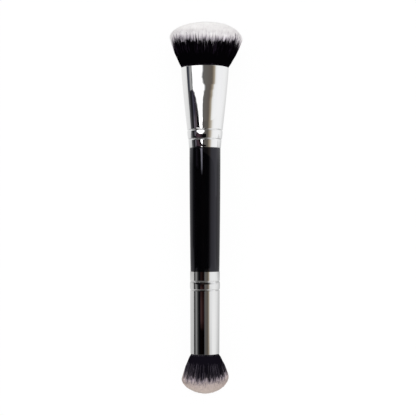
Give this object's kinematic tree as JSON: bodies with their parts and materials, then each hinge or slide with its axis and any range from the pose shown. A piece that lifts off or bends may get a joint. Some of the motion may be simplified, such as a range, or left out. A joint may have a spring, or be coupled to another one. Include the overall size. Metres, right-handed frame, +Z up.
{
  "type": "double-ended makeup brush",
  "caption": "Slim lacquered handle between two crimped bright metal ferrules, with a broad flat-domed soft head at one end and a small round one at the other.",
  "frame": {"origin": "centre of the bounding box, on the surface that the brush lies on", "axes": "+Y along the brush towards the large head, +Z up from the surface, +X across the brush to the right of +Y"},
  "size_m": [0.0324, 0.1644, 0.0319],
  "materials": {
    "black_lacquer": "turned birch under gloss black lacquer",
    "bright_metal": "drawn and polished to a mirror, with a clear coat",
    "cured_resin": "clear amber epoxy, cured",
    "dark_fibre": "fine black-dyed synthetic fibre, soft sheen",
    "white_fibre_tips": "undyed white fibre tips, soft sheen",
    "beige_fibre_tips": "grey-beige fibre tips, soft sheen"
  },
  "bodies": {
    "root": {"handle": "black_lacquer", "large_ferrule": "bright_metal", "small_ferrule": "bright_metal", "large_tenon_glue": "cured_resin", "large_root_glue": "cured_resin", "small_root_glue": "cured_resin", "large_tuft": "dark_fibre", "large_tuft_tips": "white_fibre_tips", "small_tuft": "dark_fibre", "small_tuft_tips": "beige_fibre_tips"}
  },
  "joints": []
}
